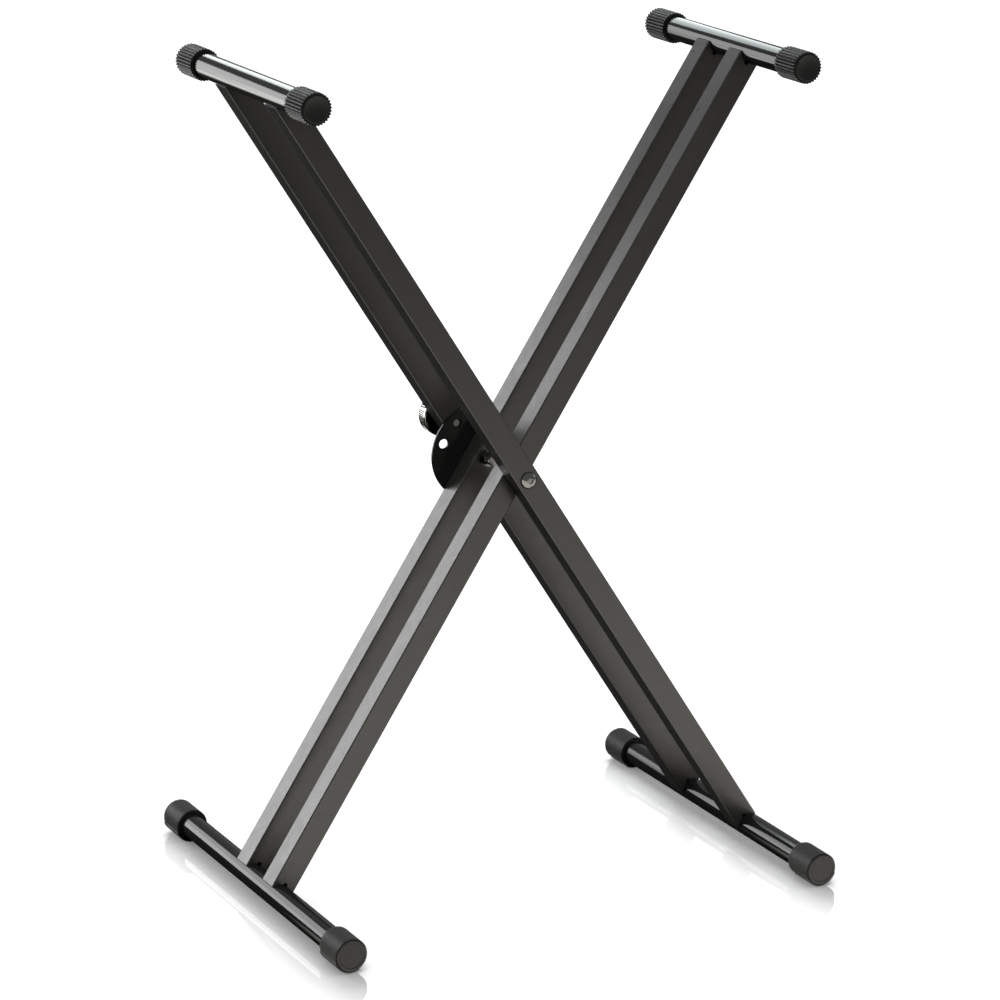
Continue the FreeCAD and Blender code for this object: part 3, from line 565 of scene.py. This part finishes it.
knob_core = turned([
    (SCREW_BORE, SLEEVE_RECESS_DEPTH), (SLEEVE_RECESS, SLEEVE_RECESS_DEPTH), (SLEEVE_RECESS, RECESS_BEVEL),
    (SLEEVE_RECESS + RECESS_BEVEL, 0.0), (KNOB_RADIUS - KNOB_EDGE, 0.0),
    (KNOB_RADIUS - KNOB_EDGE_MIDDLE, KNOB_EDGE_MIDDLE), (KNOB_RADIUS, KNOB_EDGE),
    (KNOB_RADIUS, BLOCK_FRONT), (rim, BLOCK_FRONT), (rim, BLOCK_BACK), (KNOB_RADIUS, BLOCK_BACK),
    (KNOB_RADIUS, KNOB_WIDTH - KNOB_EDGE), (KNOB_RADIUS - KNOB_EDGE_MIDDLE, KNOB_WIDTH - KNOB_EDGE_MIDDLE),
    (KNOB_RADIUS - KNOB_EDGE, KNOB_WIDTH), (BACK_RING_OUTSIDE, KNOB_WIDTH),
    (BACK_RING_OUTSIDE - BACK_RING_SLOPE, KNOB_WIDTH - BACK_RING_DEPTH),
    (BACK_RING_INSIDE + BACK_RING_SLOPE, KNOB_WIDTH - BACK_RING_DEPTH), (BACK_RING_INSIDE, KNOB_WIDTH),
    (SCREW_RECESS + SCREW_RECESS_BEVEL, KNOB_WIDTH), (SCREW_RECESS, KNOB_WIDTH - SCREW_RECESS_BEVEL),
    (SCREW_RECESS, KNOB_WIDTH - SCREW_RECESS_DEPTH), (SCREW_BORE, KNOB_WIDTH - SCREW_RECESS_DEPTH)],
    KNOB_STEPS)
knob_ribs = ribs(
    Count=BLOCKS * BLOCK_RIBS, Group_Size=BLOCK_RIBS, Group_Turn=BLOCK_TURN, Rib_Turn=KNOB_RIB_TURN,
    Start_Turn=-LEAN - (BLOCK_RIBS - 1) / 2 * KNOB_RIB_TURN, Root_Radius=KNOB_ROOT - ROOTED,
    Depth=KNOB_RIB_DEPTH + ROOTED, Root_Width=0.0013, Tip_Width=0.0009, Rounding=0.00012,
    Length=BLOCK_BACK - BLOCK_FRONT, Material=nickel_plate)
knob_ribs.transform(Matrix.Translation((0, 0, BLOCK_FRONT)))
piece("lock_knob_nickel", [knob_core, knob_ribs], outward("rear", PIN_CIRCLE, KNOB_FRONT, outer_seat),
      nickel_plate, "pull_pin", "lock_knob", sharp=30)

# Studio floor: a plain white sheet that keeps the stand's soft shadow. It is polished along the two floor
# bars, where it mirrors them faintly, and its glow shows in the gloss of the bars and rails.
FLOOR_HALF = 14.0
FLOOR_DROP = 0.0002
AMBIENT = 0.28
BACKDROP = 1.0
SHEEN_STRENGTH = 0.55
SHEEN_WIDTH = 0.075
FOOT_REACH = 0.2205
END_STRETCH = 0.45
CONTACT_REACH = 0.05
CONTACT_SAMPLES = 12
ONE_BOUNCE = 1.5
WARM_GLOW = (1.0, 0.96, 0.88, 1)
WHITE_GLOW = (1, 1, 1, 1)
DIM_FLOOR = (0.05, 0.05, 0.05, 1)
PALE_FLOOR = (0.8, 0.8, 0.8, 1)
floor_mesh = bpy.data.meshes.new("studio_floor")
floor_shape = bmesh.new()
bmesh.ops.create_grid(floor_shape, x_segments=1, y_segments=1, size=FLOOR_HALF)
bmesh.ops.translate(floor_shape, verts=floor_shape.verts[:], vec=(0, 0, -FLOOR_DROP))
floor_shape.to_mesh(floor_mesh)
floor_shape.free()
studio_floor = bpy.data.objects.new("studio_floor", floor_mesh)
bpy.context.scene.collection.objects.link(studio_floor)
pale_floor = bpy.data.materials.new("pale_floor")
pale_floor.use_nodes = True
floor_tree = pale_floor.node_tree
floor_shader = floor_tree.nodes["Principled BSDF"]
floor_shader.inputs["Roughness"].default_value = 1.0
floor_shader.inputs["Specular IOR Level"].default_value = 0.0
rays = place(floor_tree, "ShaderNodeLightPath").outputs
floor_place = place(floor_tree, "ShaderNodeTexCoord").outputs["Object"]
floor_axes = place(floor_tree, "ShaderNodeSeparateXYZ", {"Vector": floor_place}).outputs


def along_floor(direction):
    """How far a point of the floor lies along a direction from the middle."""
    made = place(floor_tree, "ShaderNodeVectorMath", operation="DOT_PRODUCT")
    feed(floor_tree, made.inputs[0], floor_place)
    feed(floor_tree, made.inputs[1], direction)
    return made.outputs["Value"]


def ramp(value, start, end, low, high):
    """Goes softly from a low to a high strength while a distance on the floor goes from start to end."""
    made = place(floor_tree, "ShaderNodeMapRange", {
        "Value": value, "From Min": start, "From Max": end, "To Min": low, "To Max": high},
        interpolation_type="SMOOTHSTEP")
    return made.outputs["Result"]


def product(first, second):
    """Two masks of the floor multiplied."""
    return reckon(floor_tree, "MULTIPLY", first, second)


from_middle = place(floor_tree, "ShaderNodeVectorMath", operation="LENGTH")
feed(floor_tree, from_middle.inputs[0], floor_place)
from_bar = reckon(floor_tree, "SUBTRACT", reckon(floor_tree, "ABSOLUTE", floor_axes["X"]), BAR_SPREAD)
past_end = reckon(floor_tree, "SUBTRACT", reckon(floor_tree, "ABSOLUTE", floor_axes["Y"]), FOOT_REACH)
stretched = product(reckon(floor_tree, "MAXIMUM", past_end, 0.0), END_STRETCH)
stretched_square = reckon(floor_tree, "POWER", stretched, 2.0)
offset_square = reckon(floor_tree, "MULTIPLY_ADD", from_bar, from_bar, stretched_square)
offset = reckon(floor_tree, "SQRT", offset_square)
polish = ramp(offset, start=0.0, end=SHEEN_WIDTH, low=SHEEN_STRENGTH, high=0.0)
sheen = product(polish, rays["Is Camera Ray"])
lit_floor = ramp(from_middle.outputs["Value"], start=0.7, end=2.0, low=0.70, high=1.0)
seen_floor = reckon(floor_tree, "MULTIPLY_ADD", sheen, -BACKDROP, lit_floor)
ahead = along_floor((0.45, -0.89, 0.0))
forward = along_floor((0.0, -1.0, 0.0))
in_front = ramp(forward, start=0.02, end=0.16, low=0.0, high=1.0)
beside_bar = ramp(reckon(floor_tree, "ABSOLUTE", from_bar), start=0.02, end=0.045, low=0.0, high=1.0)
past_feet = ramp(forward, start=0.20, end=0.23, low=0.0, high=1.0)
clear_of_bars = reckon(floor_tree, "MAXIMUM", beside_bar, past_feet)
near_glow = ramp(ahead, start=0.2, end=3.4, low=1.75, high=0.15)
near_front = product(product(in_front, clear_of_bars), near_glow)
behind = along_floor((-0.55, 0.83, 0.0))
back_start = ramp(behind, start=1.9, end=2.3, low=0.0, high=1.0)
back_glow = ramp(behind, start=2.4, end=5.0, low=2.1, high=0.9)
left_side = ramp(floor_axes["X"], start=-0.7, end=-0.3, low=1.0, high=0.0)
far_left = product(product(back_start, back_glow), left_side)
first_mirror = reckon(floor_tree, "LESS_THAN", rays["Ray Depth"], ONE_BOUNCE)
mirrored_floor = product(reckon(floor_tree, "ADD", near_front, far_left), first_mirror)
mirrored_glow = product(rays["Is Glossy Ray"], mirrored_floor)
glow = reckon(floor_tree, "MULTIPLY_ADD", rays["Is Camera Ray"], seen_floor, mirrored_glow)
feed(floor_tree, floor_shader.inputs["Base Color"],
     blend(floor_tree, rays["Is Camera Ray"], DIM_FLOOR, PALE_FLOOR))
feed(floor_tree, floor_shader.inputs["Emission Color"],
     blend(floor_tree, rays["Is Camera Ray"], WARM_GLOW, WHITE_GLOW))
feed(floor_tree, floor_shader.inputs["Emission Strength"], glow)
# Close under the stand, occlusion dims the floor's mirror, which paints a soft contact shade there.
open_sky = place(
    floor_tree, "ShaderNodeAmbientOcclusion", {"Distance": CONTACT_REACH}, samples=CONTACT_SAMPLES)
outside_contact_shade = ramp(open_sky.outputs["AO"], start=0.35, end=0.85, low=0.0, high=1.0)
mirror = place(floor_tree, "ShaderNodeBsdfGlossy", {"Color": product(sheen, outside_contact_shade), "Roughness": 0.0})
both = place(floor_tree, "ShaderNodeAddShader")
feed(floor_tree, both.inputs[0], floor_shader.outputs["BSDF"])
feed(floor_tree, both.inputs[1], mirror.outputs["BSDF"])
feed(floor_tree, floor_tree.nodes["Material Output"].inputs["Surface"], both.outputs["Shader"])
floor_mesh.materials.append(pale_floor)

# Studio light: a white backdrop that gives only a dim light of its own, and soft panels round the stand.
# The panels behind it and the one on the right show as bands in the gloss, and the overhead panel and the
# front fill only light it.
world = bpy.data.worlds.new("studio")
bpy.context.scene.world = world
world.use_nodes = True
sky = world.node_tree
ambient = sky.nodes["Background"]
ambient.inputs["Color"].default_value = (1, 1, 1, 1)
sky_rays = place(sky, "ShaderNodeLightPath").outputs
backdrop_rays = reckon(sky, "MAXIMUM", sky_rays["Is Camera Ray"], sky_rays["Is Singular Ray"])
feed(sky, ambient.inputs["Strength"],
     reckon(sky, "MULTIPLY_ADD", backdrop_rays, BACKDROP - AMBIENT, AMBIENT))


def panel(name, spot, target, width, height, radiance, colour=(1, 1, 1), mirrored=True):
    """A soft panel of light of a given brightness, which the camera doesn't see."""
    lamp = bpy.data.lights.new(name, "AREA")
    lamp.color = colour
    lamp.shape = "RECTANGLE"
    lamp.size = width
    lamp.size_y = height
    lamp.energy = math.pi * width * height * radiance
    holder = bpy.data.objects.new(name, lamp)
    holder.location = spot
    holder.rotation_euler = (Vector(target) - Vector(spot)).to_track_quat("-Z", "Y").to_euler()
    bpy.context.scene.collection.objects.link(holder)
    holder.visible_camera = False
    holder.visible_glossy = mirrored


MIDDLE = (0.0, 0.0, 0.42)
panel("left_back_panel", (-1.35, 2.15, 1.06), MIDDLE, width=1.3, height=0.94, radiance=4.2)
panel("low_left_panel", (-1.56, 2.15, 0.31), (-1.56, 0.0, 0.31), width=0.68, height=0.6, radiance=5.4)
panel("low_middle_panel", (-1.01, 2.15, 0.31), (-1.01, 0.0, 0.31), width=0.42, height=0.6, radiance=2.6)
panel("high_back_panel", (0.44, 1.5, 1.625), (0.44, 0.0, 1.625), width=1.12, height=0.75, radiance=4.8,
      colour=(0.93, 1.0, 1.0))
panel("right_panel", (2.2, -0.4, 1.1), MIDDLE, width=0.6, height=0.6, radiance=2.0)
panel("overhead_panel", (0.2, -0.2, 2.8), MIDDLE, width=2.4, height=2.4, radiance=0.5, mirrored=False)
panel("front_fill", (-0.6, -3.0, 1.6), MIDDLE, width=2.0, height=1.4, radiance=0.9, mirrored=False)

# Camera: the photograph's view, from the front left and a little above, with a long lens.
# It stands about four metres from the pivot bolts.
CAMERA_OFFSET = Vector((-1.78655, -3.55437, 1.09059))
CAMERA_TURN = math.radians(-26.747)
CAMERA_TIP = math.radians(74.150)
CAMERA_ROLL = math.radians(0.265)
camera_data = bpy.data.cameras.new("camera")
camera_data.lens = 146.93
camera_data.sensor_width = 36.0
camera_data.sensor_fit = "HORIZONTAL"
camera_data.clip_end = 100.0
camera = bpy.data.objects.new("camera", camera_data)
camera.location = PIVOT + CAMERA_OFFSET
camera_turn = Matrix.Rotation(CAMERA_TURN, 3, "Z")
camera_tip = Matrix.Rotation(CAMERA_TIP, 3, "X")
camera_roll = Matrix.Rotation(CAMERA_ROLL, 3, "Z")
camera.rotation_euler = (camera_turn @ camera_tip @ camera_roll).to_euler()
bpy.context.scene.collection.objects.link(camera)
bpy.context.scene.camera = camera
bpy.context.scene.view_settings.view_transform = "Standard"
